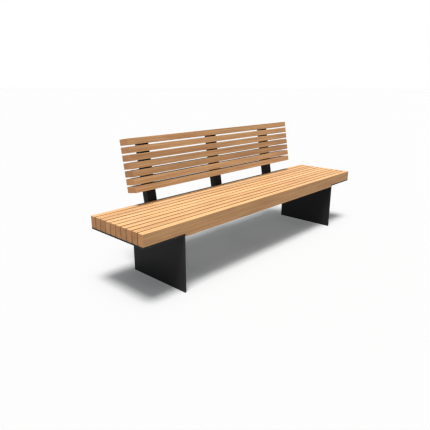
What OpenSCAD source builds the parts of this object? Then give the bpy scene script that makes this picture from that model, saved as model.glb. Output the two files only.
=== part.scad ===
// Slatted park bench with a leaning backrest.
// Solid timber slats stand on edge on two steel plate legs. Three open steel
// channels behind the seat, each on an arm under it, carry the backrest.
// +X runs along the bench, -Y is the front, +Z is up. The origin is on the
// ground, in the middle of the whole bench. All sizes are in millimetres.

/* [Timber slats] */
// Width of a slat's narrow face
slat_w = 40; // [28:1:60]
// Depth of a slat's wide face
slat_h = 90; // [60:1:130]
// Open gap between two slats
slat_gap = 10; // [4:1:20]
// Broken edge along every slat
slat_arris = 1.5; // [0.5:0.5:4]

/* [Seat] */
// Length of the seat slats
seat_l = 2300; // [1900:10:3000]
// Number of seat slats
seat_slats = 10; // [7:1:12]
// Height of the seat above the ground
seat_top_h = 442; // [360:1:560]
// How far a seat slat is cut away over the end plate
notch_h = 18; // [10:1:30]
// Clearance between a slat's shoulder and the leg
notch_clear = 0.5; // [0.3:0.1:3]

/* [Legs] */
// Distance between the outer faces of the two legs
leg_span = 1718; // [1420:2:1880]
// Thickness of the upright leg plate
leg_t = 10; // [6:1:16]
// Thickness of the end plate under the slats
seat_plate_t = 10; // [6:1:16]

/* [Backrest] */
// Length of the backrest slats
back_l = 1700; // [1500:10:2300]
// Number of backrest slats
back_slats = 7; // [3:1:8]
// Lean of the backrest, in degrees from upright
back_lean = 10.1; // [4:0.1:16]
// Height of the backrest's lower front edge above the seat
back_rise = 90; // [60:1:140]
// How far that edge stands in front of the seat's rear edge
back_overlap = 50; // [20:1:60]

/* [Posts and arms] */
// Distance from the middle post to an end post
post_spacing = 660; // [400:5:700]
// Width of a post and of the arm that carries it
post_w = 75; // [66:1:110]
// Depth of a post from front to back
post_d = 50; // [40:1:80]
// Steel thickness of the posts and arms
post_wall = 5; // [3:0.5:8]
// How far a post stops short of the backrest's top edge
post_top_gap = 5; // [4:1:30]
// Height of an arm where it meets the post
arm_rear_h = 50; // [40:1:80]
// Height of an arm at its front end
arm_front_h = 16; // [14:1:24]
// The frontmost seat slat that an arm reaches, counted from the front
arm_first_slat = 2; // [1:1:4]
// Distance from that slat's screw to the arm's front end
arm_nose = 18; // [16:1:20]

/* [Fasteners] */
// Shank diameter of a coach screw
screw_d = 8; // [5:0.5:10]
// Depth that a screw reaches into the timber
screw_bite = 45; // [25:1:50]
// Width across the flats of a screw head
head_af = 13; // [10:0.5:16]
// Height of a screw head
head_h = 5.5; // [3:0.5:7]
// Diameter of the washer under a head
washer_d = 17; // [16:0.5:20]
// Thickness of the washer
washer_t = 1.6; // [1:0.1:2.5]
// Diameter of the spacer between post and slat
spacer_d = 24; // [18:1:28]
// Thickness of that spacer
spacer_t = 5; // [3:1:10]
// Distance between the two screws that hold a slat to a post
back_screw_gap = 34; // [26:1:36]
// Distance from a plate's edges to the nearest screw
plate_screw_edge = 55; // [30:1:90]

/* [Hidden] */
$fn = 32;
eps = 1;
hole_clear = 0.5;
hex_sides = 6;
sides = ["left", "right"];
posts = ["left", "middle", "right"];

slat_pitch = slat_w + slat_gap;
seat_d = seat_slats * slat_pitch - slat_gap;
back_face_h = back_slats * slat_pitch - slat_gap;

// Heights of the seat's layers above the ground
slat_bottom_z = seat_top_h - slat_h;
plate_top_z = seat_top_h - slat_h + notch_h;
plate_bottom_z = plate_top_z - seat_plate_t;
back_bottom_z = seat_top_h + back_rise;
arm_bottom_z = slat_bottom_z - arm_rear_h;

// Depths, measured first from the seat's front edge. The rearmost point is the
// upper rear corner of a post, so the whole bench can be centred on the origin.
post_front_d = slat_h + spacer_t;
post_rear_d = post_front_d + post_d;
post_top_s = back_face_h - post_top_gap;
back_edge_depth = seat_d - back_overlap;
overall_d = back_edge_depth + post_rear_d * cos(back_lean) + post_top_s * sin(back_lean);
seat_front_y = -overall_d / 2;
seat_rear_y = seat_front_y + seat_d;
back_edge_y = seat_front_y + back_edge_depth;
arm_front_y = seat_front_y + slat_w / 2 + (arm_first_slat - 1) * slat_pitch - arm_nose;

leg_inner_x = leg_span / 2 - leg_t;
notch_x = leg_inner_x - notch_clear;
plate_screw_x = [leg_span / 2 + plate_screw_edge, seat_l / 2 - plate_screw_edge];

timber = "burlywood";
coated_steel = "#232426";
bright_steel = "silver";
nylon = "#3a3a3a";

// Where things are

function side_sign(side) = side == "left" ? -1 : 1;
function post_x(post) = post == "left" ? -post_spacing : post == "right" ? post_spacing : 0;

// Middle of seat slat i, counted from the front
function seat_slat_y(i) = seat_front_y + slat_w / 2 + (i - 1) * slat_pitch;

// Middle of backrest slat i, counted from the bottom, measured up the lean
function back_slat_s(i) = slat_w / 2 + (i - 1) * slat_pitch;

// The point, as [y, z], that lies d behind the backrest's front face and s up the lean
function lean_point(d, s) = [
    back_edge_y + d * cos(back_lean) + s * sin(back_lean),
    back_bottom_z - d * sin(back_lean) + s * cos(back_lean)
];

// The point at height z in the plane that lies d behind the backrest's front face
function level_point(d, z) = [back_edge_y + d / cos(back_lean) + (z - back_bottom_z) * tan(back_lean), z];

// The backrest's own axes: z runs up the lean, y runs square to it to the rear
module leaned() {
    translate([0, back_edge_y, back_bottom_z]) rotate([-back_lean, 0, 0]) children();
}

// Extrudes a side outline, drawn as [y, z], over a width centred on x = 0
module across(width) {
    rotate([90, 0, 90]) linear_extrude(height = width, center = true) children();
}

// Timber

// A rectangle with its four corners broken, from the origin to [a, b]
module broken_rectangle(a, b) {
    c = slat_arris;
    polygon([[c, 0], [a - c, 0], [a, c], [a, b - c], [a - c, b], [c, b], [0, b - c], [0, c]]);
}

module seat_slat(i) {
    color(timber) difference() {
        translate([0, seat_slat_y(i) - slat_w / 2, slat_bottom_z])
            across(seat_l) broken_rectangle(slat_w, slat_h);
        for (s = [-1, 1]) slat_notch(s, i);
        for (s = [-1, 1], x = plate_screw_x)
            translate([s * x, seat_slat_y(i), plate_top_z - eps]) pilot_hole();
        if (i >= arm_first_slat) for (post = posts)
            translate([post_x(post), seat_slat_y(i), slat_bottom_z - eps]) pilot_hole();
    }
}

// The part of a seat slat's end that makes room for the end plate
module slat_notch(s, i) {
    length = seat_l / 2 - notch_x + eps;
    translate([s * (notch_x + length / 2), seat_slat_y(i), plate_top_z - notch_h])
        cube([length, slat_w + 2 * eps, 2 * notch_h], center = true);
}

module back_slat(i) {
    color(timber) leaned() difference() {
        translate([0, 0, back_slat_s(i) - slat_w / 2])
            across(back_l) broken_rectangle(slat_h, slat_w);
        at_back_screws(i) translate([0, slat_h + eps, 0]) rotate([90, 0, 0]) pilot_hole();
    }
}

// A blind hole that a screw fills, upwards from a face that lies eps above z = 0
module pilot_hole() {
    cylinder(d = screw_d, h = screw_bite + eps);
}

// Legs

module leg_plate(side) {
    color(coated_steel)
        translate([side_sign(side) * (leg_span - leg_t) / 2, seat_front_y + seat_d / 2, plate_bottom_z / 2])
            cube([leg_t, seat_d, plate_bottom_z], center = true);
}

module seat_plate(side) {
    s = side_sign(side);
    length = seat_l / 2 - leg_inner_x;
    color(coated_steel) difference() {
        translate([s * (leg_inner_x + length / 2), seat_front_y + seat_d / 2, plate_bottom_z + seat_plate_t / 2])
            cube([length, seat_d, seat_plate_t], center = true);
        for (i = [1:seat_slats], x = plate_screw_x)
            translate([s * x, seat_slat_y(i), plate_bottom_z - eps])
                cylinder(d = screw_d + 2 * hole_clear, h = seat_plate_t + 2 * eps);
    }
}

// Posts and arms

// Side outline of a leaning bar, cut off level at its foot and square at its top
function post_outline(front_d, rear_d, foot_z, top_s) = [
    level_point(front_d, foot_z),
    level_point(rear_d, foot_z),
    lean_point(rear_d, top_s),
    lean_point(front_d, top_s)
];

// A leaning channel that is open to the rear, from the arm's underside to near the top edge
module back_post(post) {
    color(coated_steel) translate([post_x(post), 0, 0]) difference() {
        across(post_w) polygon(post_outline(post_front_d, post_rear_d, arm_bottom_z, post_top_s));
        across(post_w - 2 * post_wall) polygon(post_outline(
            post_front_d + post_wall, post_rear_d + post_wall, arm_bottom_z - eps, post_top_s + eps));
        leaned() for (i = [1:back_slats], x = [-1, 1] * back_screw_gap / 2)
            translate([x, post_front_d - eps, back_slat_s(i)]) rotate([-90, 0, 0])
                cylinder(d = screw_d + 2 * hole_clear, h = post_wall + 2 * eps);
    }
}

// A tapered channel that is open below and runs back to the face of its post
module seat_arm(post) {
    color(coated_steel) translate([post_x(post), 0, 0]) difference() {
        across(post_w) polygon([
            [arm_front_y, slat_bottom_z],
            level_point(post_front_d, slat_bottom_z),
            level_point(post_front_d, arm_bottom_z),
            [arm_front_y, slat_bottom_z - arm_front_h]
        ]);
        translate([post_wall - post_w / 2, arm_front_y + post_wall, arm_bottom_z - eps])
            cube([post_w - 2 * post_wall, overall_d, arm_rear_h - post_wall + eps]);
        for (i = [arm_first_slat:seat_slats])
            translate([0, seat_slat_y(i), slat_bottom_z - post_wall - eps])
                cylinder(d = screw_d + 2 * hole_clear, h = post_wall + 2 * eps);
    }
}

// Fasteners

// A hexagon coach screw that points up, through a washer and a steel wall to the timber
module coach_screw(wall) {
    color(bright_steel) {
        translate([0, 0, -washer_t - head_h]) cylinder(d = head_af / cos(180 / hex_sides), h = head_h, $fn = hex_sides);
        translate([0, 0, -washer_t]) cylinder(d = screw_d, h = washer_t + wall + screw_bite);
    }
}

module washer() {
    color(bright_steel) translate([0, 0, -washer_t]) difference() {
        cylinder(d = washer_d, h = washer_t);
        translate([0, 0, -eps]) cylinder(d = screw_d, h = washer_t + 2 * eps);
    }
}

module at_plate_screws() {
    for (s = [-1, 1], x = plate_screw_x, i = [1:seat_slats])
        translate([s * x, seat_slat_y(i), plate_bottom_z]) children();
}

module at_arm_screws() {
    for (post = posts, i = [arm_first_slat:seat_slats])
        translate([post_x(post), seat_slat_y(i), slat_bottom_z - post_wall]) children();
}

// The screw places of backrest slat i, in the backrest's own axes
module at_back_screws(i) {
    for (post = posts, side = [-1, 1])
        translate([post_x(post) + side * back_screw_gap / 2, 0, back_slat_s(i)]) children();
}

// The same places on the inner face of the posts, pointing forward
module at_post_webs() {
    leaned() for (i = [1:back_slats])
        at_back_screws(i) translate([0, post_front_d + post_wall, 0]) rotate([90, 0, 0]) children();
}

module plate_screws() { at_plate_screws() coach_screw(seat_plate_t); }
module plate_washers() { at_plate_screws() washer(); }
module arm_screws() { at_arm_screws() coach_screw(post_wall); }
module arm_washers() { at_arm_screws() washer(); }
module back_screws() { at_post_webs() coach_screw(post_wall + spacer_t); }
module back_washers() { at_post_webs() washer(); }

// Discs that hold each backrest slat clear of the steel, so that rain dries off
module back_spacers() {
    color(nylon) at_post_webs() translate([0, 0, post_wall]) difference() {
        cylinder(d = spacer_d, h = spacer_t);
        translate([0, 0, -eps]) cylinder(d = screw_d, h = spacer_t + 2 * eps);
    }
}

for (side = sides) {
    leg_plate(side);
    seat_plate(side);
}
for (i = [1:seat_slats]) seat_slat(i);
for (i = [1:back_slats]) back_slat(i);
for (post = posts) {
    back_post(post);
    seat_arm(post);
}
plate_screws();
plate_washers();
arm_screws();
arm_washers();
back_screws();
back_washers();
back_spacers();
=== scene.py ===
"""Looks of a slatted park bench: oiled timber boards on coated steel, in a plain studio.

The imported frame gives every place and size. Each sub-assembly is a class that builds its own
meshes in metres, in the frame's axes: +X along the bench, -Y to the front and +Z up.
"""

import logging
import math
import random
from dataclasses import dataclass, field
from enum import Enum
from typing import Iterable, Optional, Sequence

import bmesh
import bpy
from mathutils import Matrix, Vector


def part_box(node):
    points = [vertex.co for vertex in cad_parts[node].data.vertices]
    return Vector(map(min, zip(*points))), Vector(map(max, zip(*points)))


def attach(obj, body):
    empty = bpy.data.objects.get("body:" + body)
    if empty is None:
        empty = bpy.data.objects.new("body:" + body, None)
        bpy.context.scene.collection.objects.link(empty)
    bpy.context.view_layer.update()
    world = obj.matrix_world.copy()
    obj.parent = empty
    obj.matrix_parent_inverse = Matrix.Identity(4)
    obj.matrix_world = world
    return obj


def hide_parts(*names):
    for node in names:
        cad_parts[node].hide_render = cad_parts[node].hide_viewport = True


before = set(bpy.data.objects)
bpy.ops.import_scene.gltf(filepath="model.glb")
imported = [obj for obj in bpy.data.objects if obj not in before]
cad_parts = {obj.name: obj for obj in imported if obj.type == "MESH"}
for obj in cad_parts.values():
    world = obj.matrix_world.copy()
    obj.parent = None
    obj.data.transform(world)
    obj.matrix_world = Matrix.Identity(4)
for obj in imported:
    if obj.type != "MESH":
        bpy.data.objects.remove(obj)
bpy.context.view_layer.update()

BODY = "root"
MM = 0.001
VIEW_TRANSFORM = "Standard"
FILTER_WIDTH = 1.4
SHARP_ANGLE = math.radians(42)
END_FACING = 0.7
DISC_FACETS = 32
MIX_INPUTS = (0, 6, 7)
MIX_RESULT = 2

log = logging.getLogger("bench")

Socket = bpy.types.NodeSocket
Value = "Socket | float | Sequence[float]"


class Slot(Enum):
    """The record's material slots."""

    TIMBER = "slat_timber"
    STEEL = "coated_steel"
    SCREW = "screw_steel"
    NYLON = "spacer_nylon"


class Side(Enum):
    """The two ends of the bench."""

    LEFT = "left"
    RIGHT = "right"

    @property
    def sign(self) -> int:
        """The direction along X in which this end lies."""
        return -1 if self is Side.LEFT else 1


class PostPlace(Enum):
    """The three posts of the backrest."""

    LEFT = "left"
    MIDDLE = "middle"
    RIGHT = "right"


class Mark(Enum):
    """Mesh attributes that the finishes read."""

    BOARD = "board_place"
    TONE = "board_tone"
    END = "end_grain"
    EDGE = "worn_edge"


# Reading the frame


@dataclass(frozen=True)
class Extent:
    """The box of one CAD node.

    Args:
        low: Lowest corner.
        high: Highest corner.
    """

    low: Vector
    high: Vector

    @classmethod
    def of(cls, node: str) -> "Extent":
        """Returns the box of the CAD node with this name."""
        return cls(*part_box(node))

    @property
    def middle(self) -> Vector:
        """The box's centre."""
        return (self.low + self.high) / 2

    @property
    def size(self) -> Vector:
        """The box's three side lengths."""
        return self.high - self.low


def node_points(node: str) -> list[Vector]:
    """Returns the corners of a CAD node's mesh."""
    return [v.co.copy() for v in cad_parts[node].data.vertices]


def spans(values: Iterable[float], gap: float) -> list[tuple[float, float]]:
    """Finds the groups of values that lie apart.

    Args:
        values: Coordinates along one axis.
        gap: The least distance between two groups.

    Returns:
        The lowest and highest value of each group, from the lowest.
    """
    ordered = sorted(values)
    groups = [[ordered[0], ordered[0]]]
    for value in ordered[1:]:
        if value - groups[-1][1] > gap:
            groups.append([value, value])
        groups[-1][1] = value
    return [(low, high) for low, high in groups]


@dataclass(frozen=True)
class Lean:
    """The backrest's own axes: X along the bench, D square into the boards, S up the lean.

    Args:
        origin: A point on the lower front edge of the lowest board, on the middle plane.
        angle: Lean from upright, in radians.
    """

    origin: Vector
    angle: float

    @classmethod
    def from_boards(cls, boards: Sequence[Extent], thickness: float, depth: float) -> "Lean":
        """Works the axes out from the backrest boards.

        Args:
            boards: The boards' boxes, from the lowest up.
            thickness: The boards' narrow side.
            depth: The boards' wide side.

        Returns:
            The backrest's axes.
        """
        rise = boards[-1].middle - boards[0].middle
        made = cls(Vector(), math.atan2(rise.y, rise.z))
        corner = boards[0].middle - made.into * depth / 2 - made.up * thickness / 2
        return cls(Vector((0, corner.y, corner.z)), made.angle)

    @property
    def up(self) -> Vector:
        """Direction up the lean."""
        return Vector((0, math.sin(self.angle), math.cos(self.angle)))

    @property
    def into(self) -> Vector:
        """Direction square to the lean, to the rear."""
        return Vector((0, math.cos(self.angle), -math.sin(self.angle)))

    def point(self, x: float, d: float, s: float) -> Vector:
        """Returns the point at x, d into the boards and s up the lean."""
        return self.origin + Vector((x, 0, 0)) + self.into * d + self.up * s

    def parts(self, point: Vector) -> Vector:
        """Returns (x, d, s) of a point."""
        arm = point - self.origin
        return Vector((point.x, arm.dot(self.into), arm.dot(self.up)))

    def level_s(self, d: float, z: float) -> float:
        """Returns how far up the lean the height z is reached, d into the boards."""
        return (z - self.origin.z + d * math.sin(self.angle)) / math.cos(self.angle)

    def level_y(self, d: float, z: float) -> float:
        """Returns the depth in the frame of the plane at d, at height z."""
        return self.point(0, d, self.level_s(d, z)).y

    @property
    def matrix(self) -> Matrix:
        """Turns (x, d, s) into the frame's axes."""
        turn = Matrix.Rotation(-self.angle, 4, "X")
        return Matrix.Translation(self.origin) @ turn


# Node graphs


@dataclass(frozen=True)
class Pattern:
    """A noise pattern.

    Args:
        cells: Cells per metre along each axis.
        detail: Number of finer layers.
        rough: Share of each finer layer.
    """

    cells: tuple[float, float, float]
    detail: float = 2.0
    rough: float = 0.5


class Graph:
    """A material's node tree, built with short calls.

    Args:
        name: The material's name.
    """

    def __init__(self, name: str) -> None:
        """Makes an empty node material.

        Args:
            name: The material's name.
        """
        self.material = bpy.data.materials.new(name)
        self.material.use_nodes = True
        self.tree = self.material.node_tree
        self.tree.nodes.clear()

    def add(self, kind: str, inputs: Optional[dict] = None, **settings: object) -> bpy.types.Node:
        """Adds a node.

        Args:
            kind: The node's type name, without "ShaderNode".
            inputs: A socket or a constant for each named or numbered input.
            settings: Properties of the node.

        Returns:
            The new node.
        """
        node = self.tree.nodes.new("ShaderNode" + kind)
        for key, value in settings.items():
            setattr(node, key, value)
        for key, value in (inputs or {}).items():
            if isinstance(value, bpy.types.NodeSocket):
                self.tree.links.new(value, node.inputs[key])
            else:
                node.inputs[key].default_value = value
        return node

    def read(self, mark: Mark) -> bpy.types.Node:
        """Reads a mesh attribute."""
        return self.add("Attribute", attribute_name=mark.value)

    def math(self, operation: str, a: Value, b: Value = 0.0, clamp: bool = False) -> Socket:
        """Returns the result of a Math node."""
        return self.add("Math", {0: a, 1: b}, operation=operation, use_clamp=clamp).outputs[0]

    def stretch(self, vector: Socket, by: Sequence[float]) -> Socket:
        """Returns the vector multiplied by three factors."""
        node = self.add("VectorMath", {0: vector, 1: by}, operation="MULTIPLY")
        return node.outputs[0]

    def noise(self, vector: Socket, pattern: Pattern) -> Socket:
        """Adds a noise.

        Args:
            vector: The place.
            pattern: Cells and layers of the noise.

        Returns:
            A value from 0 to 1.
        """
        inputs = {
            "Vector": self.stretch(vector, pattern.cells), "Scale": 1.0,
            "Detail": pattern.detail, "Roughness": pattern.rough,
        }
        return self.add("TexNoise", inputs).outputs[0]

    def ramp(self, value: Socket, low: float, high: float, to: tuple[float, float] = (0.0, 1.0)) -> Socket:
        """Returns the value with low..high stretched to another range, and clamped."""
        inputs = {"Value": value, "From Min": low, "From Max": high, "To Min": to[0], "To Max": to[1]}
        return self.add("MapRange", inputs).outputs[0]

    def blend(self, share: Value, a: Value, b: Value, mode: str = "MIX") -> Socket:
        """Mixes two colours.

        Args:
            share: Share of the second colour.
            a: First colour.
            b: Second colour.
            mode: Blend mode.

        Returns:
            The mixed colour.
        """
        node = self.add("Mix", data_type="RGBA", blend_type=mode)
        for index, value in zip(MIX_INPUTS, (share, a, b)):
            if isinstance(value, bpy.types.NodeSocket):
                self.tree.links.new(value, node.inputs[index])
            else:
                node.inputs[index].default_value = value
        return node.outputs[MIX_RESULT]

    def bump(self, height: Socket, distance: float, strength: float = 1.0) -> Socket:
        """Returns a normal that is tilted by a height map, with distance in metres."""
        inputs = {"Height": height, "Distance": distance, "Strength": strength}
        return self.add("Bump", inputs).outputs[0]

    def finish(self, **inputs: Value) -> bpy.types.Material:
        """Adds the surface shader and the output.

        Args:
            inputs: Shader inputs, with underscores for spaces.

        Returns:
            The finished material.
        """
        named = {key.replace("_", " "): value for key, value in inputs.items()}
        shader = self.add("BsdfPrincipled", named)
        self.add("OutputMaterial", {"Surface": shader.outputs[0]})
        return self.material


def rgba(colour: Sequence[float]) -> tuple[float, float, float, float]:
    """Returns a colour with full alpha."""
    return (colour[0], colour[1], colour[2], 1.0)


# Finishes


@dataclass(frozen=True)
class OiledTimber:
    """Planed hardwood under a thin coat of oil.

    Args:
        pale: Early wood.
        warm: Early wood where the grain is denser.
        late: Dark line at the end of a year ring.
        pore: The inside of a pore.
        upright: Painted shade on faces that stand upright.
        upward: Painted light on faces that look up, paler and cooler than the upright faces.
        end_tint: Tint of the end grain, which soaks up more oil.
        dark_tint: Tint of the darkest boards.
        pale_tint: Tint of the palest boards.
        ring: Width of a year ring.
        wobble: How far a ring strays from round.
        crowding: How far rings crowd and spread, in rings.
        late_rise: Part of a ring over which its late wood darkens.
        late_fall: Part of a ring over which its late wood ends.
        late_power: Power that gathers the late wood at the ring's end.
        late_share: Least and greatest share of the late wood's colour.
        end_late: Least share of the late wood on end grain.
        end_band: How much end grain hides the warm bands.
        fibre_share: Share of the late wood's colour between fibres.
        pore_share: Share of the pores' colour.
        tone_share: What a board's tone adds to its brightness.
        figure_level: Least and greatest brightness by the broad figure.
        edge_level: What a worn edge adds to the brightness.
        roughness: Least and greatest roughness, by the fibre.
        end_roughness: What end grain adds to the roughness.
        fibre_height: Share of the fibres in the relief.
        pore_height: Share of the pores in the relief.
        late_height: Share of the late wood in the relief.
        depth: Height of the relief.
        relief: Strength of the relief.
        ior: Refractive index of the oil.
        specular: Specular level.
    """

    pale: tuple[float, float, float] = (0.376, 0.232, 0.116)
    warm: tuple[float, float, float] = (0.262, 0.132, 0.059)
    late: tuple[float, float, float] = (0.155, 0.069, 0.028)
    pore: tuple[float, float, float] = (0.080, 0.036, 0.016)
    # Painted shade on upright faces and painted light on faces that look up.
    upright: tuple[float, float, float] = (0.875, 0.875, 0.875)
    upward: tuple[float, float, float] = (0.98, 1.015, 1.02)
    end_tint: tuple[float, float, float] = (1.019, 0.916, 0.885)
    dark_tint: tuple[float, float, float] = (1.010, 0.992, 0.975)
    pale_tint: tuple[float, float, float] = (1.00, 1.005, 1.00)
    ring: float = 3.1 * MM
    wobble: float = 4 * MM
    crowding: float = 4.0
    late_rise: tuple[float, float] = (0.25, 0.88)
    late_fall: tuple[float, float] = (0.94, 1.0)
    late_power: float = 2.2
    late_share: tuple[float, float] = (0.12, 0.66)
    end_late: float = 0.6
    end_band: float = 0.6
    fibre_share: float = 0.40
    pore_share: float = 0.55
    tone_share: float = 0.16
    figure_level: tuple[float, float] = (0.915, 1.085)
    edge_level: float = 0.10
    roughness: tuple[float, float] = (0.46, 0.60)
    end_roughness: float = 0.16
    fibre_height: float = 0.45
    pore_height: float = 0.5
    late_height: float = 0.35
    depth: float = 0.35 * MM
    relief: float = 0.8
    ior: float = 1.45
    specular: float = 0.09

    def late_wood(self, g: Graph, place: Socket, end: Socket) -> Socket:
        """Draws the dark lines of the year rings.

        Args:
            g: The material's graph.
            place: Place in the log.
            end: 1 on end grain, 0 elsewhere.

        Returns:
            Share of late wood.
        """
        axes = g.add("SeparateXYZ", {0: place})
        square = g.math("ADD", g.math("POWER", axes.outputs[1], 2), g.math("POWER", axes.outputs[2], 2))
        stray = g.math("MULTIPLY", g.noise(place, Pattern((1.1, 7, 7), 3)), self.wobble * 2)
        radius = g.math("ADD", g.math("SQRT", square), stray)
        crowded = g.math("MULTIPLY", g.noise(place, Pattern((0.7, 42, 42))), self.crowding)
        phase = g.math("FRACT", g.math("ADD", g.math("DIVIDE", radius, self.ring), crowded))
        rise = g.ramp(phase, *self.late_rise)
        fall = g.ramp(phase, *self.late_fall, (1.0, 0.0))
        line = g.math("MULTIPLY", g.math("POWER", rise, self.late_power), fall)
        share = g.ramp(g.noise(place, Pattern((0.9, 11, 11))), 0.3, 0.7, self.late_share)
        return g.math("MULTIPLY", line, g.math("MAXIMUM", share, g.math("MULTIPLY", end, self.end_late)))

    def level(self, g: Graph, place: Socket, tone: Socket) -> Socket:
        """Works out the brightness by board, figure and wear.

        Args:
            g: The material's graph.
            place: Place in the log.
            tone: The board's tone.

        Returns:
            A grey to multiply the wood's colour by.
        """
        edge = g.read(Mark.EDGE).outputs["Fac"]
        figure = g.noise(place, Pattern((3.2, 14, 14)))
        level = g.math("ADD", 1.0, g.math("MULTIPLY", tone, self.tone_share))
        level = g.math("MULTIPLY", level, g.ramp(figure, 0.3, 0.7, self.figure_level))
        level = g.math("MULTIPLY", level, g.math("ADD", 1.0, g.math("MULTIPLY", edge, self.edge_level)))
        return g.add("CombineColor", {0: level, 1: level, 2: level}).outputs[0]

    def tint(self, g: Graph, colour: Socket, tone: Socket, end: Socket) -> Socket:
        """Tints the wood by board and end grain, and paints shade and light by the way that a face looks.

        Args:
            g: The material's graph.
            colour: The wood's colour.
            tone: The board's tone.
            end: 1 on end grain, 0 elsewhere.

        Returns:
            The tinted colour.
        """
        by_tone = g.blend(g.ramp(tone, -1.0, 1.0), rgba(self.dark_tint), rgba(self.pale_tint))
        colour = g.blend(1.0, colour, by_tone, "MULTIPLY")
        colour = g.blend(end, colour, g.blend(1.0, colour, rgba(self.end_tint), "MULTIPLY"))
        # Painted shade on upright faces and painted light on faces that look up, chosen by the face's
        # normal.
        facing = g.add("SeparateXYZ", {0: g.add("NewGeometry").outputs["Normal"]}).outputs[2]
        painted_face_shading = g.blend(g.ramp(facing, 0.2, 0.9), rgba(self.upright), rgba(self.upward))
        return g.blend(1.0, colour, painted_face_shading, "MULTIPLY")

    def build(self) -> bpy.types.Material:
        """Makes the timber material.

        Returns:
            The material.
        """
        g = Graph("oiled_timber")
        place = g.read(Mark.BOARD).outputs["Vector"]
        tone = g.read(Mark.TONE).outputs["Fac"]
        end = g.read(Mark.END).outputs["Fac"]
        late = self.late_wood(g, place, end)
        band = g.ramp(g.noise(place, Pattern((1.3, 120, 120), 3, 0.6)), 0.32, 0.68)
        band = g.math("MULTIPLY", band, g.math("SUBTRACT", 1.0, g.math("MULTIPLY", end, self.end_band)))
        fibre = g.noise(place, Pattern((14, 620, 620), 3, 0.6))
        vein = g.ramp(g.noise(place, Pattern((9, 1500, 1500))), 0.60, 0.74)

        ground = g.blend(band, rgba(self.pale), rgba(self.warm))
        ringed = g.blend(late, ground, rgba(self.late))
        fibred = g.blend(g.ramp(fibre, 0.25, 0.75, (self.fibre_share, 0.0)), ringed, rgba(self.late))
        pored = g.blend(g.math("MULTIPLY", vein, self.pore_share), fibred, rgba(self.pore))
        shaded = g.blend(1.0, pored, self.level(g, place, tone), "MULTIPLY")
        colour = self.tint(g, shaded, tone, end)

        rough = g.ramp(fibre, 0.2, 0.8, self.roughness)
        rough = g.math("ADD", rough, g.math("MULTIPLY", end, self.end_roughness))
        raised = g.math("MULTIPLY", fibre, self.fibre_height)
        height = g.math("SUBTRACT", raised, g.math("MULTIPLY", vein, self.pore_height))
        height = g.math("ADD", height, g.math("MULTIPLY", late, self.late_height))
        return g.finish(
            Base_Color=colour, Roughness=rough, IOR=self.ior, Specular_IOR_Level=self.specular,
            Normal=g.bump(height, self.depth, self.relief),
        )


@dataclass(frozen=True)
class PowderCoat:
    """Baked black powder on steel, with a fine orange-peel grain.

    Args:
        colour: The coat.
        rubbed: The coat where hands and shoes polish an edge.
        grain: Grains per metre.
        edge_wear: Least and greatest wear of an edge.
        scuff_wear: Wear of a scuff.
        roughness: Least and greatest roughness, by the grain.
        cloud_roughness: What broad unevenness adds to the roughness.
        depth: Height of the grain.
        relief: Strength of the grain.
        ior: Refractive index.
        specular: Specular level.
    """

    colour: tuple[float, float, float] = (0.0130, 0.0130, 0.0134)
    rubbed: tuple[float, float, float] = (0.020, 0.020, 0.021)
    grain: float = 900.0
    edge_wear: tuple[float, float] = (0.35, 0.9)
    scuff_wear: float = 0.10
    roughness: tuple[float, float] = (0.44, 0.52)
    cloud_roughness: tuple[float, float] = (-0.03, 0.04)
    depth: float = 0.12 * MM
    relief: float = 0.55
    ior: float = 1.42
    specular: float = 0.10

    def build(self) -> bpy.types.Material:
        """Makes the coated steel material.

        Returns:
            The material.
        """
        g = Graph("powder_coat")
        place = g.add("TexCoord").outputs["Object"]
        edge = g.read(Mark.EDGE).outputs["Fac"]
        peel = g.noise(place, Pattern((self.grain, self.grain, self.grain), 2, 0.55))
        cloud = g.noise(place, Pattern((5, 5, 5), 3, 0.6))
        scuff = g.ramp(g.noise(place, Pattern((60, 60, 240), 4, 0.7)), 0.56, 0.72)
        wear = g.math("MULTIPLY", edge, g.ramp(cloud, 0.35, 0.65, self.edge_wear))
        wear = g.math("ADD", wear, g.math("MULTIPLY", scuff, self.scuff_wear), clamp=True)
        colour = g.blend(wear, rgba(self.colour), rgba(self.rubbed))
        rough = g.ramp(peel, 0.2, 0.8, self.roughness)
        rough = g.math("ADD", rough, g.ramp(cloud, 0.3, 0.7, self.cloud_roughness))
        return g.finish(
            Base_Color=colour, Roughness=rough, IOR=self.ior, Specular_IOR_Level=self.specular,
            Normal=g.bump(peel, self.depth, self.relief),
        )


@dataclass(frozen=True)
class Stainless:
    """Turned stainless steel of the screws and washers.

    Args:
        bright: Clean metal.
        dull: Metal with a film left by rain and air.
        film_share: Greatest share of the film.
        roughness: Roughness of clean metal and of the film.
        depth: Height of the turning marks.
        relief: Strength of the turning marks.
    """

    bright: tuple[float, float, float] = (0.62, 0.61, 0.59)
    dull: tuple[float, float, float] = (0.40, 0.39, 0.37)
    film_share: float = 0.7
    roughness: tuple[float, float] = (0.27, 0.42)
    depth: float = 0.03 * MM
    relief: float = 0.5

    def build(self) -> bpy.types.Material:
        """Makes the screw material.

        Returns:
            The material.
        """
        g = Graph("stainless_steel")
        place = g.add("TexCoord").outputs["Object"]
        film = g.ramp(g.noise(place, Pattern((70, 70, 70), 3, 0.6)), 0.35, 0.7)
        turned = g.noise(place, Pattern((1800, 1800, 260)))
        share = g.math("MULTIPLY", film, self.film_share)
        return g.finish(
            Base_Color=g.blend(share, rgba(self.bright), rgba(self.dull)), Metallic=1.0,
            Roughness=g.ramp(film, 0.0, 1.0, self.roughness),
            Normal=g.bump(turned, self.depth, self.relief),
        )


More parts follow.
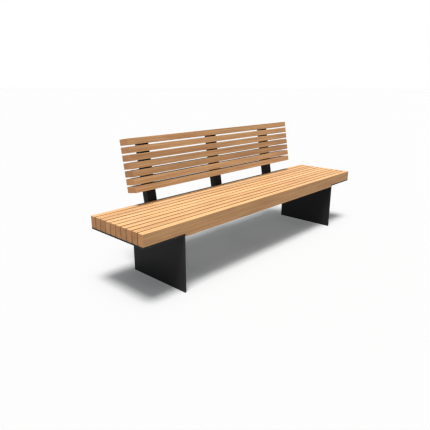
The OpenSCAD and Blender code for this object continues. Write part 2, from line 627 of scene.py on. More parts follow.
@dataclass(frozen=True)
class MouldedNylon:
    """Spark-textured black nylon of the spacers.

    Args:
        colour: The plastic.
        chalk: The plastic where sun has faded it.
        fade: Least and greatest share of the faded plastic.
        roughness: Least and greatest roughness, by the texture.
        specular: Specular level.
        depth: Height of the texture.
        relief: Strength of the texture.
    """

    colour: tuple[float, float, float] = (0.018, 0.018, 0.019)
    chalk: tuple[float, float, float] = (0.055, 0.054, 0.052)
    fade: tuple[float, float] = (0.0, 0.4)
    roughness: tuple[float, float] = (0.55, 0.70)
    specular: float = 0.4
    depth: float = 0.06 * MM
    relief: float = 0.6

    def build(self) -> bpy.types.Material:
        """Makes the spacer material.

        Returns:
            The material.
        """
        g = Graph("moulded_nylon")
        place = g.add("TexCoord").outputs["Object"]
        spark = g.noise(place, Pattern((1500, 1500, 1500), 2, 0.6))
        fade = g.ramp(g.noise(place, Pattern((40, 40, 40))), 0.35, 0.75, self.fade)
        return g.finish(
            Base_Color=g.blend(fade, rgba(self.colour), rgba(self.chalk)),
            Roughness=g.ramp(spark, 0.2, 0.8, self.roughness), Specular_IOR_Level=self.specular,
            Normal=g.bump(spark, self.depth, self.relief),
        )


@dataclass(frozen=True)
class Finishes:
    """Every material of the bench, by slot."""

    made: dict[Slot, bpy.types.Material] = field(default_factory=lambda: {
        Slot.TIMBER: OiledTimber().build(),
        Slot.STEEL: PowderCoat().build(),
        Slot.SCREW: Stainless().build(),
        Slot.NYLON: MouldedNylon().build(),
    })

    def dress(self, piece: bpy.types.Object, slot: Slot) -> None:
        """Gives a piece the material of a slot.

        Args:
            piece: The piece.
            slot: Its material slot.
        """
        piece.data.materials.clear()
        piece.data.materials.append(self.made[slot])


# Mesh building


def ring_loft(bm: bmesh.types.BMesh, rings: Sequence[Sequence[Vector]], capped: bool = True) -> None:
    """Joins closed rings of points, each as long as the next, into a skin.

    Args:
        bm: The mesh to add to.
        rings: The rings in order.
        capped: Whether the first and last rings are closed with a face.
    """
    loops = [[bm.verts.new(p) for p in ring] for ring in rings]
    for one, two in zip(loops, loops[1:]):
        for i in range(len(one)):
            j = (i + 1) % len(one)
            bm.faces.new((one[i], one[j], two[j], two[i]))
    if capped:
        bm.faces.new(list(reversed(loops[0])))
        bm.faces.new(loops[-1])


def round_edges(bm: bmesh.types.BMesh, radius: float, steps: int, least_angle: float = 0.7) -> None:
    """Rounds every outward edge that is sharper than an angle, and marks the new faces as edge.

    Args:
        bm: The mesh to change.
        radius: How far the rounding reaches from the edge.
        steps: Facets across the rounding.
        least_angle: The least angle between two faces whose edge is rounded, in radians.
    """
    bmesh.ops.recalc_face_normals(bm, faces=bm.faces)
    worn = bm.faces.layers.float.get(Mark.EDGE.value) or bm.faces.layers.float.new(Mark.EDGE.value)
    sharp = [e for e in bm.edges if e.is_manifold and e.is_convex and e.calc_face_angle(0) > least_angle]
    made = bmesh.ops.bevel(
        bm, geom=sharp, offset=radius, segments=steps, profile=0.5, affect="EDGES", clamp_overlap=True,
    )
    for face in made["faces"]:
        face[worn] = 1.0


def make_piece(
    name: str,
    bm: bmesh.types.BMesh,
    slot: Slot,
    finishes: Finishes,
    nodes: Sequence[str] = (),
) -> bpy.types.Object:
    """Turns a mesh under construction into a finished piece of the bench.

    Args:
        name: The piece's name.
        bm: The mesh, which is freed.
        slot: The material slot that the piece is finished with.
        finishes: The bench's materials.
        nodes: The CAD nodes that the piece stands for.

    Returns:
        The new object, riding on the bench.
    """
    mesh = bpy.data.meshes.new(name)
    bmesh.ops.recalc_face_normals(bm, faces=bm.faces)
    bm.to_mesh(mesh)
    bm.free()
    mesh.shade_smooth()
    mesh.set_sharp_from_angle(angle=SHARP_ANGLE)
    piece = bpy.data.objects.new(name, mesh)
    bpy.context.scene.collection.objects.link(piece)
    weighted = piece.modifiers.new("even_shading", "WEIGHTED_NORMAL")
    weighted.keep_sharp = True
    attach(piece, BODY)
    if nodes:
        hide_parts(*nodes)
    finishes.dress(piece, slot)
    log.info("%s: %d faces", name, len(mesh.polygons))
    return piece


# Timber


@dataclass(frozen=True)
class Notch:
    """The cut under both ends of a seat board.

    Args:
        start: Distance of its shoulder from the middle of the board.
        height: Height of the cut.
    """

    start: float
    height: float


@dataclass(frozen=True)
class SawnLog:
    """How boards are sawn from their logs.

    Args:
        nearest: Least distance of a board from the log's heart.
        farthest: Greatest distance of a board from the log's heart.
        swing: Usual turn of the rings from the board's diagonal, in radians.
        slope: Greatest slope of the grain.
        length: Length of timber that the boards come from, in metres.
    """

    nearest: float = 45 * MM
    farthest: float = 150 * MM
    swing: float = 0.2
    slope: float = 0.006
    length: float = 60.0


@dataclass
class Board:
    """One slat, in its own axes: X along it, Y through its first side and Z through its second.

    Args:
        name: Name of the piece.
        node: CAD node that it stands for.
        length: Length.
        wide: Size along the board's Y.
        tall: Size along the board's Z.
        place: Turns the board's own axes, from its centre, into the frame's.
        seed: Chooses the board's grain.
        tone: Tone of the long faces, from -1, dark, to 1, pale.
        end_tone: Tone of the end grain, on the same scale.
        notch: Cut under the ends, if the board has one.
        arris: Radius of the rounded edges.
        arris_steps: Facets across a rounded edge.
        sawn: How the board is sawn from its log.
    """

    name: str
    node: str
    length: float
    wide: float
    tall: float
    place: Matrix
    seed: int
    tone: float = 0.0
    end_tone: float = 0.0
    notch: Optional[Notch] = None
    arris: float = 0.9 * MM
    arris_steps: int = 3
    sawn: SawnLog = SawnLog()

    def outline(self) -> list[tuple[float, float]]:
        """Draws the board's side view.

        Returns:
            Points (x, z), anticlockwise seen from the front.
        """
        end, foot, top = self.length / 2, -self.tall / 2, self.tall / 2
        if self.notch is None:
            return [(-end, foot), (end, foot), (end, top), (-end, top)]
        cut, step = foot + self.notch.height, self.notch.start
        lower = [(-end, cut), (-step, cut), (-step, foot), (step, foot), (step, cut), (end, cut)]
        return lower + [(end, top), (-end, top)]

    def build(self, finishes: Finishes) -> bpy.types.Object:
        """Builds and dresses the board.

        Args:
            finishes: The bench's materials.

        Returns:
            The board.
        """
        bm = bmesh.new()
        sides = [[Vector((x, y, z)) for x, z in self.outline()] for y in (-self.wide / 2, self.wide / 2)]
        ring_loft(bm, sides)
        round_edges(bm, self.arris, self.arris_steps)
        self.mark_grain(bm)
        bmesh.ops.transform(bm, matrix=self.place, verts=bm.verts)
        return make_piece(self.name, bm, Slot.TIMBER, finishes, [self.node])

    def mark_grain(self, bm: bmesh.types.BMesh) -> None:
        """Writes where each point lies in the log that the board was sawn from.

        Args:
            bm: The board's mesh in its own axes.
        """
        draw = random.Random(self.seed)
        sawn = self.sawn
        turn = (draw.randrange(4) + 0.5) * math.pi / 2 + draw.gauss(0, sawn.swing)
        away = draw.uniform(sawn.nearest, sawn.farthest)
        heart = Vector((0, math.cos(turn) * away, math.sin(turn) * away))
        slope = Vector((0, draw.uniform(-sawn.slope, sawn.slope), draw.uniform(-sawn.slope, sawn.slope)))
        along = draw.uniform(0, sawn.length)
        place = bm.verts.layers.float_vector.new(Mark.BOARD.value)
        shade = bm.verts.layers.float.new(Mark.TONE.value)
        end = bm.faces.layers.float.new(Mark.END.value)
        tip = self.length / 2 - self.arris / 10
        for vert in bm.verts:
            local = vert.co - heart - slope * vert.co.x
            vert[place] = (vert.co.x + along, local.y, local.z)
            vert[shade] = self.end_tone if abs(vert.co.x) > tip else self.tone
        for face in bm.faces:
            face[end] = 1.0 if abs(face.normal.x) > END_FACING else 0.0


@dataclass
class SeatDeck:
    """The seat boards, which stand on edge and are cut away over the end plates.

    Args:
        count: Number of boards.
        first_seed: Seed of the front board.
        tones: Tone of each board's long faces, from the front, as a scratch script worked them out
            from measured brightness.
        end_tones: Tone of each board's end grain, from the front, worked out in the same way.
    """

    count: int
    first_seed: int = 11
    tones: tuple[float, ...] = (1.0, -0.1, 0.4, 0.2, 1.1, 0.8, 0.6, -0.4, 0.3, 0.2)
    end_tones: tuple[float, ...] = (0.5, -0.7, -0.3, -0.2, -0.3, -0.1, 0.8, -1.0, -0.3, -0.6)

    @classmethod
    def from_frame(cls) -> "SeatDeck":
        """Counts the seat boards in the frame."""
        return cls(count_nodes("seat_slat_"))

    @staticmethod
    def section() -> tuple[float, float]:
        """Returns the boards' narrow and wide sides."""
        size = Extent.of("seat_slat_1").size
        return size.y, size.z

    def notch(self) -> Notch:
        """Works the end cuts out from the end plates and the first board's corners.

        Returns:
            The cut under both ends of a board.
        """
        box = Extent.of("seat_slat_1")
        height = Extent.of("seat_plate_right").high.z - box.low.z
        low = [abs(p.x) for p in node_points("seat_slat_1") if p.z < box.low.z + height / 4]
        return Notch(max(low), height)

    def build(self, finishes: Finishes) -> list[bpy.types.Object]:
        """Builds every seat board.

        Args:
            finishes: The bench's materials.

        Returns:
            The boards, from the front.
        """
        notch = self.notch()
        made = []
        for i in range(1, self.count + 1):
            node = f"seat_slat_{i}"
            box = Extent.of(node)
            board = Board(
                f"seat_board_{i:02d}", node, box.size.x, box.size.y, box.size.z,
                Matrix.Translation(box.middle), self.first_seed + i,
                of_board(self.tones, i), of_board(self.end_tones, i), notch,
            )
            made.append(board.build(finishes))
        return made


@dataclass
class Backrest:
    """The leaning boards of the backrest.

    Args:
        count: Number of boards.
        lean: The backrest's axes.
        thickness: The boards' narrow side.
        depth: The boards' wide side.
        first_seed: Seed of the lowest board.
        tones: Tone of each board's long faces, from the lowest, as a scratch script worked them out
            from measured brightness.
        end_tones: Tone of each board's end grain, from the lowest, worked out in the same way.
    """

    count: int
    lean: Lean
    thickness: float
    depth: float
    first_seed: int = 40
    tones: tuple[float, ...] = (0.6, 0.7, -0.7, -0.4, -0.3, 0.3, 0.2)
    end_tones: tuple[float, ...] = (0.8, 1.0, -0.8, 0.6, 0.4, 0.5, 0.8)

    @classmethod
    def from_frame(cls) -> "Backrest":
        """Works the backrest out from its nodes and the seat boards' section.

        Returns:
            The backrest.
        """
        count = count_nodes("back_slat_")
        thickness, depth = SeatDeck.section()
        boxes = [Extent.of(f"back_slat_{i}") for i in range(1, count + 1)]
        return cls(count, Lean.from_boards(boxes, thickness, depth), thickness, depth)

    def build(self, finishes: Finishes) -> list[bpy.types.Object]:
        """Builds every backrest board.

        Args:
            finishes: The bench's materials.

        Returns:
            The boards, from the lowest.
        """
        turn = Matrix.Rotation(-self.lean.angle, 4, "X")
        made = []
        for i in range(1, self.count + 1):
            node = f"back_slat_{i}"
            box = Extent.of(node)
            board = Board(
                f"back_board_{i}", node, box.size.x, self.depth, self.thickness,
                Matrix.Translation(box.middle) @ turn, self.first_seed + i,
                of_board(self.tones, i), of_board(self.end_tones, i),
            )
            made.append(board.build(finishes))
        return made


def of_board(tones: Sequence[float], number: int) -> float:
    """Returns a board's tone, for boards that are numbered from 1, and starts again past the last."""
    return tones[(number - 1) % len(tones)]


def count_nodes(start: str) -> int:
    """Returns how many CAD nodes have names that start like this."""
    return sum(name.startswith(start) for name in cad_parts)


# Steel


@dataclass
class LegFrame:
    """An upright leg plate with the end plate that is welded on top of it.

    Args:
        side: The end of the bench.
        edge: Radius of the plates' rounded edges.
        bead: Size of the weld between the plates.
        ripple: Length of one ripple of the weld.
        edge_steps: Facets across a rounded edge.
    """

    side: Side
    edge: float = 1.0 * MM
    bead: float = 5.0 * MM
    ripple: float = 4.0 * MM
    edge_steps: int = 3

    def build(self, finishes: Finishes) -> list[bpy.types.Object]:
        """Builds both plates and the weld.

        Args:
            finishes: The bench's materials.

        Returns:
            The leg plate, the end plate and the weld.
        """
        names = (f"leg_plate_{self.side.value}", f"seat_plate_{self.side.value}")
        plates = [self.plate(name, finishes) for name in names]
        return [*plates, self.weld(finishes)]

    def plate(self, node: str, finishes: Finishes) -> bpy.types.Object:
        """Builds one plate with rounded edges in the box of its node.

        Args:
            node: The plate's CAD node.
            finishes: The bench's materials.

        Returns:
            The plate.
        """
        low, high = Extent.of(node).low, Extent.of(node).high
        outline = [(low.x, low.y), (high.x, low.y), (high.x, high.y), (low.x, high.y)]
        bm = bmesh.new()
        ring_loft(bm, [[Vector((x, y, z)) for x, y in outline] for z in (low.z, high.z)])
        round_edges(bm, self.edge, self.edge_steps)
        return make_piece(node + "_coated", bm, Slot.STEEL, finishes, [node])

    def weld(self, finishes: Finishes) -> bpy.types.Object:
        """Builds the weld along the outer corner under the end plate.

        Args:
            finishes: The bench's materials.

        Returns:
            The weld.
        """
        leg = Extent.of(f"leg_plate_{self.side.value}")
        face_x = leg.high.x if self.side is Side.RIGHT else leg.low.x
        inset = 2 * self.edge
        start = Vector((face_x, leg.low.y + inset, leg.high.z))
        run = Vector((0, leg.size.y - 2 * inset, 0))
        bm = bmesh.new()
        out = Vector((self.side.sign, 0, 0))
        FilletWeld(self.bead, self.ripple).add(bm, start, run, out, Vector((0, 0, -1)))
        return make_piece(f"leg_weld_{self.side.value}", bm, Slot.STEEL, finishes)


@dataclass(frozen=True)
class FilletWeld:
    """A fillet weld with a rippled face.

    Args:
        size: Leg length of the fillet.
        ripple: Length of one ripple.
        sink: How far it reaches into the corner, as a share of its size.
        swell: How much a ripple swells it, as a share.
        pressed: How much its face is flattened, as a share.
        end_size: Its size at both ends, as a share.
        growth: What each slice from an end adds to that share.
        slices: Slices in a ripple.
        facets: Facets across its face.
    """

    size: float
    ripple: float
    sink: float = 0.1
    swell: float = 0.06
    pressed: float = 0.20
    end_size: float = 0.5
    growth: float = 0.25
    slices: int = 4
    facets: int = 4

    def add(self, bm: bmesh.types.BMesh, start: Vector, run: Vector, out: Vector, down: Vector) -> None:
        """Adds the weld.

        Args:
            bm: The mesh to add to.
            start: Corner between the two plates where the weld begins.
            run: From the start to the end of the weld.
            out: Direction along the first plate.
            down: Direction along the second plate.
        """
        steps = max(2, round(run.length / self.ripple) * self.slices)
        root = -(out + down) * self.size * self.sink
        arc = [i / self.facets * math.pi / 2 for i in range(self.facets + 1)]
        rings = []
        for k in range(steps + 1):
            at = start + run * (k / steps)
            swell = 1.0 + self.swell * math.cos(k / self.slices * math.tau)
            taper = min(1.0, self.end_size + min(k, steps - k) * self.growth)
            reach = self.size * swell * taper
            bow = [out * math.cos(a) * reach + down * math.sin(a) * reach for a in arc]
            flat = [p * (1 - self.pressed + self.pressed * abs(math.cos(2 * a))) for p, a in zip(bow, arc)]
            rings.append([at + root] + [at + p for p in flat])
        ring_loft(bm, rings)


@dataclass
class Channel:
    """A bent steel channel: a web and two flanges, with rounded bends.

    Args:
        width: Outer width over the flanges.
        wall: Steel thickness.
        bend: Outer radius of the two bends.
        inside: Inner radius of the two bends.
        facets: Facets in each bend.
    """

    width: float
    wall: float
    bend: float = 3.0 * MM
    inside: float = 1.0 * MM
    facets: int = 4

    def section(self) -> list[tuple[float, float, bool]]:
        """Draws the channel with its web on top and its flanges down.

        Returns:
            Points (across, below, tip): below is the distance under the web's outer face, and
            tip says that the point lies at the flange's free edge, whatever the flange's length.
        """
        half, inner = self.width / 2, self.width / 2 - self.wall
        turns = [i / self.facets * math.pi / 2 for i in range(self.facets + 1)]
        outer_arc = [
            (half - self.bend * (1 - math.cos(t)), self.bend * (1 - math.sin(t)), False) for t in turns
        ]
        inner_arc = [
            (inner - self.inside * (1 - math.cos(t)), self.wall + self.inside * (1 - math.sin(t)), False)
            for t in turns
        ]
        right = [(half, 0.0, True)] + outer_arc
        left = [(-x, below, tip) for x, below, tip in reversed(right)]
        inner_left = [(-inner, 0.0, True)] + [(-x, below, tip) for x, below, tip in inner_arc]
        inner_right = [(x, below, tip) for x, below, tip in reversed(inner_arc)] + [(inner, 0.0, True)]
        return right + left + inner_left + inner_right


@dataclass
class BackSupport:
    """One post of the backrest and the arm that carries it under the seat.

    Args:
        place: Which post.
        lean: The backrest's axes.
        edge: Radius of the cut edges.
        edge_steps: Facets across a cut edge.
        bead: Size of the weld.
        ripple: Length of one ripple of the weld.
        weld_inset: Distance of the weld's ends from the arm's sides.
    """

    place: PostPlace
    lean: Lean
    edge: float = 0.8 * MM
    edge_steps: int = 2
    bead: float = 4.5 * MM
    ripple: float = 4 * MM
    weld_inset: float = 10 * MM

    @property
    def post_node(self) -> str:
        """Name of the post's CAD node."""
        return f"back_post_{self.place.value}"

    @property
    def arm_node(self) -> str:
        """Name of the arm's CAD node."""
        return f"seat_arm_{self.place.value}"

    def post_reach(self) -> tuple[float, float, float]:
        """Returns the post's front and rear d, and its top s."""
        parts = [self.lean.parts(p) for p in node_points(self.post_node)]
        return min(p.y for p in parts), max(p.y for p in parts), max(p.z for p in parts)

    def wall(self) -> float:
        """Measures the steel on the post's top end.

        Returns:
            The steel's thickness.
        """
        front, rear, top = self.post_reach()
        parts = [self.lean.parts(p) for p in node_points(self.post_node)]
        inside = [p.y for p in parts if p.z > top - MM and front + MM < p.y < rear - MM]
        return min(inside) - front

    def build(self, finishes: Finishes) -> list[bpy.types.Object]:
        """Builds the post, the arm and their weld.

        Args:
            finishes: The bench's materials.

        Returns:
            The three pieces.
        """
        return [self.post(finishes), self.arm(finishes), self.weld(finishes)]

    def post(self, finishes: Finishes) -> bpy.types.Object:
        """Builds the leaning channel, open to the rear and cut level at its foot.

        Args:
            finishes: The bench's materials.

        Returns:
            The post.
        """
        box = Extent.of(self.post_node)
        front, rear, top = self.post_reach()
        section = Channel(box.size.x, self.wall()).section()
        outline = [(x, rear if tip else front + below) for x, below, tip in section]
        foot = [self.lean.point(box.middle.x + x, d, self.lean.level_s(d, box.low.z)) for x, d in outline]
        head = [self.lean.point(box.middle.x + x, d, top) for x, d in outline]
        bm = bmesh.new()
        ring_loft(bm, [foot, head])
        round_edges(bm, self.edge, self.edge_steps)
        return make_piece(self.post_node + "_bent", bm, Slot.STEEL, finishes, [self.post_node])

    def arm(self, finishes: Finishes) -> bpy.types.Object:
        """Builds the tapered channel, open below, with its closed nose.

        Args:
            finishes: The bench's materials.

        Returns:
            The arm.
        """
        box = Extent.of(self.arm_node)
        wall = self.wall()
        post_d = self.post_reach()[0]
        nose_low = min(p.z for p in node_points(self.arm_node) if p.y < box.low.y + MM)
        middle, top = box.middle.x, box.high.z
        section = Channel(box.size.x, wall).section()
        nose = [(x, nose_low if tip else top - below) for x, below, tip in section]
        tail = [(x, box.low.z if tip else top - below) for x, below, tip in section]
        front_ring = [Vector((middle + x, box.low.y, z)) for x, z in nose]
        rear_ring = [Vector((middle + x, self.lean.level_y(post_d, z), z)) for x, z in tail]
        bm = bmesh.new()
        ring_loft(bm, [front_ring, rear_ring])
        inner = box.size.x / 2 - wall
        corners = [(-inner, nose_low), (inner, nose_low), (inner, top - wall), (-inner, top - wall)]
        depths = (box.low.y, box.low.y + wall)
        ring_loft(bm, [[Vector((middle + x, y, z)) for x, z in corners] for y in depths])
        round_edges(bm, self.edge, self.edge_steps)
        return make_piece(self.arm_node + "_bent", bm, Slot.STEEL, finishes, [self.arm_node])

    def weld(self, finishes: Finishes) -> bpy.types.Object:
        """Builds the weld in the corner between the arm's web and the post.

        Args:
            finishes: The bench's materials.

        Returns:
            The weld.
        """
        box = Extent.of(self.arm_node)
        post_d = self.post_reach()[0]
        start = Vector((box.low.x + self.weld_inset, self.lean.level_y(post_d, box.high.z), box.high.z))
        run = Vector((box.size.x - 2 * self.weld_inset, 0, 0))
        bm = bmesh.new()
        FilletWeld(self.bead, self.ripple).add(bm, start, run, self.lean.up, Vector((0, -1, 0)))
        return make_piece(f"post_weld_{self.place.value}", bm, Slot.STEEL, finishes)


# Fasteners


@dataclass(frozen=True)
class ScrewShape:
    """A hexagon coach screw, pointing up from its washer's outer face at z = 0.

    Args:
        shank: Shank radius.
        reach: Length of the shank above the head.
        flats: Width across the flats.
        head: Height of the head.
        facets: Points around the head, a multiple of six.
        coarse: How many of them lie between two points around the shank.
        lip: Width of the head at its foot, as a share.
        lip_height: Height over which the foot widens.
        crown: Radius of the crown's flat, as a share of half the flats.
        chamfer: Slope of the crown's chamfer, in degrees.
        tip: Radius of the shank's tip, as a share.
    """

    shank: float
    reach: float
    flats: float
    head: float
    facets: int = 36
    coarse: int = 3
    lip: float = 0.985
    lip_height: float = 0.25 * MM
    crown: float = 0.96
    chamfer: float = 30.0
    tip: float = 0.25

    def hexagon_radius(self, turn: float) -> float:
        """Returns the hexagon's radius in the direction turn."""
        sixth = math.pi / 3
        return self.flats / 2 / math.cos((turn % sixth) - sixth / 2)

    def outline(self, turn: float) -> list[tuple[float, float]]:
        """Draws the head's outline in one direction.

        Args:
            turn: Direction around the screw, in radians.

        Returns:
            Points (distance from the axis, height), from the washer to the crown.
        """
        r = self.hexagon_radius(turn)
        crown = self.flats / 2 * self.crown
        slope = math.tan(math.radians(self.chamfer))
        chamfered = -self.head + (r - crown) * slope
        return [(r * self.lip, 0.0), (r, -self.lip_height), (r, chamfered), (crown, -self.head)]

    def add(self, bm: bmesh.types.BMesh, place: Matrix) -> None:
        """Adds the head, with its chamfered crown, and the shank.

        Args:
            bm: The mesh to add to.
            place: Turns the screw's axes into the frame's.
        """
        turns = [i / self.facets * math.tau for i in range(self.facets)]
        rims = zip(*(self.outline(t) for t in turns))
        ring_loft(bm, [
            [place @ Vector((r * math.cos(t), r * math.sin(t), z)) for t, (r, z) in zip(turns, rim)]
            for rim in rims
        ])
        levels = (
            (self.shank, 0.0), (self.shank, self.reach - self.shank), (self.shank * self.tip, self.reach),
        )
        round_turns = turns[::self.coarse]
        ring_loft(bm, [
            [place @ Vector((r * math.cos(t), r * math.sin(t), z)) for t in round_turns] for r, z in levels
        ])


def add_disc(
    bm: bmesh.types.BMesh, place: Matrix, radius: float, bore: float, thickness: float, soften: float,
) -> None:
    """Adds a disc with a bore and softened rims, standing on z = 0.

    Args:
        bm: The mesh to add to.
        place: Turns the disc's axes into the frame's.
        radius: Outer radius.
        bore: Inner radius.
        thickness: Thickness along z.
        soften: Size of the rims' rounding.
    """
    s = soften
    ease = 0.3 * soften
    outline = [
        (bore + s, 0.0), (radius - s, 0.0), (radius - ease, ease), (radius, s), (radius, thickness - s),
        (radius - ease, thickness - ease), (radius - s, thickness), (bore + s, thickness),
        (bore, thickness - s), (bore, s),
    ]
    rings = []
    for k in range(DISC_FACETS):
        t = k / DISC_FACETS * math.tau
        points = [place @ Vector((r * math.cos(t), r * math.sin(t), z)) for r, z in outline]
        rings.append([bm.verts.new(point) for point in points])
    for k, one in enumerate(rings):
        two = rings[(k + 1) % DISC_FACETS]
        for i in range(len(outline)):
            j = (i + 1) % len(outline)
            bm.faces.new((one[i], one[j], two[j], two[i]))


@dataclass(frozen=True)
class FastenerSizes:
    """Sizes of one kind of coach screw, measured on its CAD nodes.

    Args:
        face: Height of the steel's face along the screws, in their own axes.
        washer_t: Washer thickness.
        washer_r: Washer radius.
        flats: Width across the flats of the head.
        head: Height of the head.
        shank: Shank radius.
        reach: Length of the shank beyond the washer's outer face.
    """

    face: float
    washer_t: float
    washer_r: float
    flats: float
    head: float
    shank: float
    reach: float

    @classmethod
    def measure(cls, washers: Sequence[Vector], screws: Sequence[Vector], gap: float) -> "FastenerSizes":
        """Measures one kind of fastener.

        Args:
            washers: Corners of the washers, in the screws' axes.
            screws: Corners of the screws, in the screws' axes.
            gap: Least distance between two fasteners.

        Returns:
            The sizes.
        """
        face, under = max(p.z for p in washers), min(p.z for p in washers)
        foot, tip = min(p.z for p in screws), max(p.z for p in screws)
        disc = spans((p.x for p in washers), gap)[0]
        flats = spans((p.y for p in screws if p.z < under), gap)[0]
        shank = spans((p.x for p in screws if p.z > tip - MM), gap)[0]
        return cls(
            face, face - under, (disc[1] - disc[0]) / 2, flats[1] - flats[0], under - foot,
            (shank[1] - shank[0]) / 2, tip - under,
        )


@dataclass
class FastenerSet:
    """All coach screws of one kind, with their washers.

    Args:
        kind: First word of the names of their CAD nodes.
        axes: Turns the screws' own axes, which point along +Z, into the frame's.
        gap: Least distance between two fasteners.
        soften: Size of the washers' rounded rims.
    """

    kind: str
    axes: Matrix
    gap: float = 8 * MM
    soften: float = 0.35 * MM

    def local(self, node: str) -> list[Vector]:
        """Returns the corners of a CAD node in the screws' axes."""
        back = self.axes.inverted()
        return [back @ p for p in node_points(node)]

    def sizes(self) -> FastenerSizes:
        """Returns the sizes of the screws and the washers."""
        washers, screws = self.local(self.kind + "_washers"), self.local(self.kind + "_screws")
        return FastenerSizes.measure(washers, screws, self.gap)

    def places(self, height: float) -> list[Matrix]:
        """Finds where the fasteners are.

        Args:
            height: Height of the wanted places along the screws.

        Returns:
            For each screw, what turns its own axes into the frame's.
        """
        washers = self.local(self.kind + "_washers")
        xs = [(a + b) / 2 for a, b in spans((p.x for p in washers), self.gap)]
        ys = [(a + b) / 2 for a, b in spans((p.y for p in washers), self.gap)]
        return [self.axes @ Matrix.Translation((x, y, height)) for x in xs for y in ys]

    def build(self, finishes: Finishes) -> list[bpy.types.Object]:
        """Builds the screws and the washers.

        Args:
            finishes: The bench's materials.

        Returns:
            The two pieces.
        """
        draw = random.Random(self.kind)
        sizes = self.sizes()
        shape = ScrewShape(sizes.shank, sizes.reach, sizes.flats, sizes.head)
        screws, washers = bmesh.new(), bmesh.new()
        for place in self.places(sizes.face - sizes.washer_t):
            turn = Matrix.Rotation(draw.uniform(0, math.tau), 4, "Z")
            shape.add(screws, place @ turn)
            add_disc(washers, place, sizes.washer_r, sizes.shank, sizes.washer_t, self.soften)
        return [
            make_piece(f"{self.kind}_coach_screws", screws, Slot.SCREW, finishes, [f"{self.kind}_screws"]),
            make_piece(f"{self.kind}_flat_washers", washers, Slot.SCREW, finishes, [f"{self.kind}_washers"]),
        ]


@dataclass
class BackSpacers:
    """Nylon discs that hold the backrest boards clear of the posts.

    Args:
        screws: The backrest's fasteners, on which the discs sit.
        soften: Size of the discs' rounded rims.
        gap: Least distance between two discs.
    """

    screws: FastenerSet
    soften: float = 0.8 * MM
    gap: float = 5 * MM

    def build(self, finishes: Finishes) -> list[bpy.types.Object]:
        """Builds the discs.

        Args:
            finishes: The bench's materials.

        Returns:
            One piece with all of them.
        """
        discs = self.screws.local("back_spacers")
        low, high = min(p.z for p in discs), max(p.z for p in discs)
        across = spans((p.x for p in discs), self.gap)[0]
        radius = (across[1] - across[0]) / 2
        bm = bmesh.new()
        for place in self.screws.places(low):
            add_disc(bm, place, radius, self.screws.sizes().shank, high - low, self.soften)
        return [make_piece("back_nylon_spacers", bm, Slot.NYLON, finishes, ["back_spacers"])]


# The studio


@dataclass(frozen=True)
class Viewpoint:
    """Where the camera stands.

    Args:
        aim: Point that the camera looks at.
        distance: Distance to that point.
        turn: Turn to the right from looking along +Y, in degrees.
        tilt: Tilt down from level, in degrees.
        roll: Roll, in degrees.
        lens: Focal length, in millimetres.
        sensor: Width of the sensor, in millimetres.
        nearest: Nearest distance that the camera sees.
        farthest: Farthest distance that the camera sees.
    """

    aim: tuple[float, float, float] = (-0.1620, 0.0873, 0.2415)
    distance: float = 3.2010
    turn: float = 47.125
    tilt: float = 17.107
    roll: float = 0.12
    lens: float = 35.532
    sensor: float = 36.0
    nearest: float = 0.05
    farthest: float = 400.0

    def build(self) -> bpy.types.Object:
        """Adds the camera and makes it the scene's own.

        Returns:
            The camera.
        """
        data = bpy.data.cameras.new("camera")
        data.sensor_width = self.sensor
        data.lens = self.lens
        data.clip_start, data.clip_end = self.nearest, self.farthest
        camera = bpy.data.objects.new("camera", data)
        bpy.context.scene.collection.objects.link(camera)
        turned = Matrix.Rotation(math.radians(-self.turn), 4, "Z")
        turned = turned @ Matrix.Rotation(math.radians(90 - self.tilt), 4, "X")
        turned = turned @ Matrix.Rotation(math.radians(self.roll), 4, "Z")
        back = turned.to_3x3() @ Vector((0, 0, self.distance))
        camera.matrix_world = Matrix.Translation(Vector(self.aim) + back) @ turned
        bpy.context.scene.camera = camera
        return camera


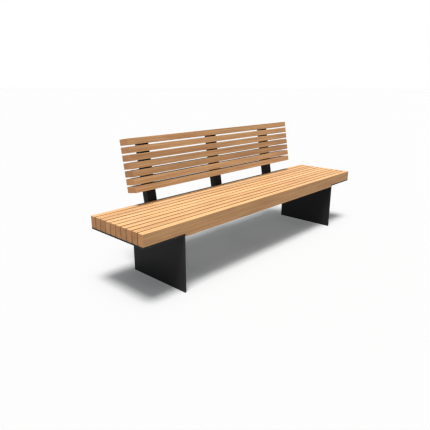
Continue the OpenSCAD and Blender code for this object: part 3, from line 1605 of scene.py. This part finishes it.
@dataclass(frozen=True)
class SoftLight:
    """One broad lamp overhead, brighter at its middle, and a pale room around it.

    Args:
        towards: Direction from the bench to the lamp.
        strength: Light of the lamp's bright middle, in watts per square metre.
        spread: Width of the middle as seen from the bench, in degrees.
        halo_strength: Light of the lamp's dim rim, in watts per square metre.
        halo_spread: Width of the rim as seen from the bench, in degrees.
        room: Brightness of the room's walls.
        ceiling: Brightness of the room overhead.
        low: Elevation up to which the walls keep their brightness, in degrees.
        high: Elevation from which the ceiling has its own brightness, in degrees.
    """

    towards: tuple[float, float, float] = (-0.213, -0.168, 1.0)
    strength: float = 9.35
    spread: float = 17.6
    halo_strength: float = 2.3
    halo_spread: float = 42.0
    room: float = 1.0
    ceiling: float = 0.24
    low: float = 13.0
    high: float = 22.0

    def build(self) -> None:
        """Adds the lamp and the room."""
        self.build_lamp("lamp_middle", self.strength, self.spread)
        self.build_lamp("lamp_halo", self.halo_strength, self.halo_spread)
        self.build_room()

    def build_lamp(self, name: str, strength: float, spread: float) -> None:
        """Adds one part of the lamp.

        Args:
            name: Name of the part.
            strength: Its light, in watts per square metre.
            spread: Its width as seen from the bench, in degrees.
        """
        lamp = bpy.data.lights.new(name, "SUN")
        lamp.energy = strength
        lamp.angle = math.radians(spread)
        holder = bpy.data.objects.new(name, lamp)
        holder.rotation_mode = "QUATERNION"
        holder.rotation_quaternion = Vector(self.towards).to_track_quat("Z", "Y")
        bpy.context.scene.collection.objects.link(holder)

    def build_room(self) -> None:
        """Makes the world's light fall off from the walls to the ceiling, behind a plain white backdrop."""
        world = bpy.data.worlds.new("pale_room")
        bpy.context.scene.world = world
        world.use_nodes = True
        nodes, links = world.node_tree.nodes, world.node_tree.links
        nodes.clear()
        place = nodes.new("ShaderNodeTexCoord")
        axes = nodes.new("ShaderNodeSeparateXYZ")
        fall = nodes.new("ShaderNodeMapRange")
        fall.interpolation_type = "SMOOTHSTEP"
        fall.inputs["From Min"].default_value = math.sin(math.radians(self.low))
        fall.inputs["From Max"].default_value = math.sin(math.radians(self.high))
        fall.inputs["To Min"].default_value = self.room
        fall.inputs["To Max"].default_value = self.ceiling
        glow = nodes.new("ShaderNodeBackground")
        glow.inputs["Color"].default_value = rgba((1.0, 1.0, 1.0))
        out = nodes.new("ShaderNodeOutputWorld")
        links.new(place.outputs["Generated"], axes.inputs[0])
        links.new(axes.outputs["Z"], fall.inputs["Value"])
        seen = nodes.new("ShaderNodeLightPath")
        strength = nodes.new("ShaderNodeMix")
        strength.inputs["B"].default_value = self.room
        links.new(seen.outputs["Is Camera Ray"], strength.inputs["Factor"])
        links.new(fall.outputs[0], strength.inputs["A"])
        links.new(strength.outputs[0], glow.inputs["Strength"])
        links.new(glow.outputs[0], out.inputs["Surface"])


@dataclass(frozen=True)
class PaleFloor:
    """A seamless pale floor.

    Args:
        radius: Radius of the floor.
        shade: Share of light that it gives back, by colour.
        glow: Light of its own, as from the room below the lamp.
        glow_tint: Colour of that light, a little cool, against the timber's warm light.
        facets: Facets around its rim.
    """

    radius: float = 150.0
    shade: tuple[float, float, float] = (0.2195, 0.2175, 0.2168)
    glow: float = 0.140
    glow_tint: tuple[float, float, float] = (0.93, 0.985, 1.0)
    facets: int = 96

    def build(self) -> bpy.types.Object:
        """Builds the floor on the bench's ground plane.

        Returns:
            The floor.
        """
        mesh = bpy.data.meshes.new("floor")
        bm = bmesh.new()
        turns = [i / self.facets * math.tau for i in range(self.facets)]
        rim = [bm.verts.new((self.radius * math.cos(t), self.radius * math.sin(t), 0)) for t in turns]
        bm.faces.new(rim)
        bm.to_mesh(mesh)
        bm.free()
        floor = bpy.data.objects.new("floor", mesh)
        bpy.context.scene.collection.objects.link(floor)
        finish = Graph("pale_floor").finish(
            Base_Color=rgba(self.shade), Roughness=1.0, Specular_IOR_Level=0.0,
            Emission_Color=rgba(self.glow_tint), Emission_Strength=self.glow,
        )
        mesh.materials.append(finish)
        return floor


def corners(box: tuple[Vector, Vector]) -> list[list[float]]:
    """Returns a box as plain lists of numbers."""
    return [list(box[0]), list(box[1])]


def main() -> None:
    """Builds the bench and its studio."""
    logging.basicConfig(level=logging.INFO, format="%(name)s: %(message)s")
    bpy.context.scene.view_settings.view_transform = VIEW_TRANSFORM
    bpy.context.scene.cycles.filter_width = FILTER_WIDTH
    finishes = Finishes()
    seat, backrest = SeatDeck.from_frame(), Backrest.from_frame()
    lean = backrest.lean
    back_screws = FastenerSet("back", lean.matrix @ Matrix.Rotation(math.radians(90), 4, "X"))
    assemblies = [
        seat,
        backrest,
        *(LegFrame(side) for side in Side),
        *(BackSupport(place, lean) for place in PostPlace),
        FastenerSet("plate", Matrix.Identity(4)),
        FastenerSet("arm", Matrix.Identity(4)),
        back_screws,
        BackSpacers(back_screws),
    ]
    for assembly in assemblies:
        made = assembly.build(finishes)
        log.info("%s: %s", type(assembly).__name__, ", ".join(piece.name for piece in made))
    PaleFloor().build()
    SoftLight().build()
    Viewpoint().build()


if __name__ == "__main__":
    main()
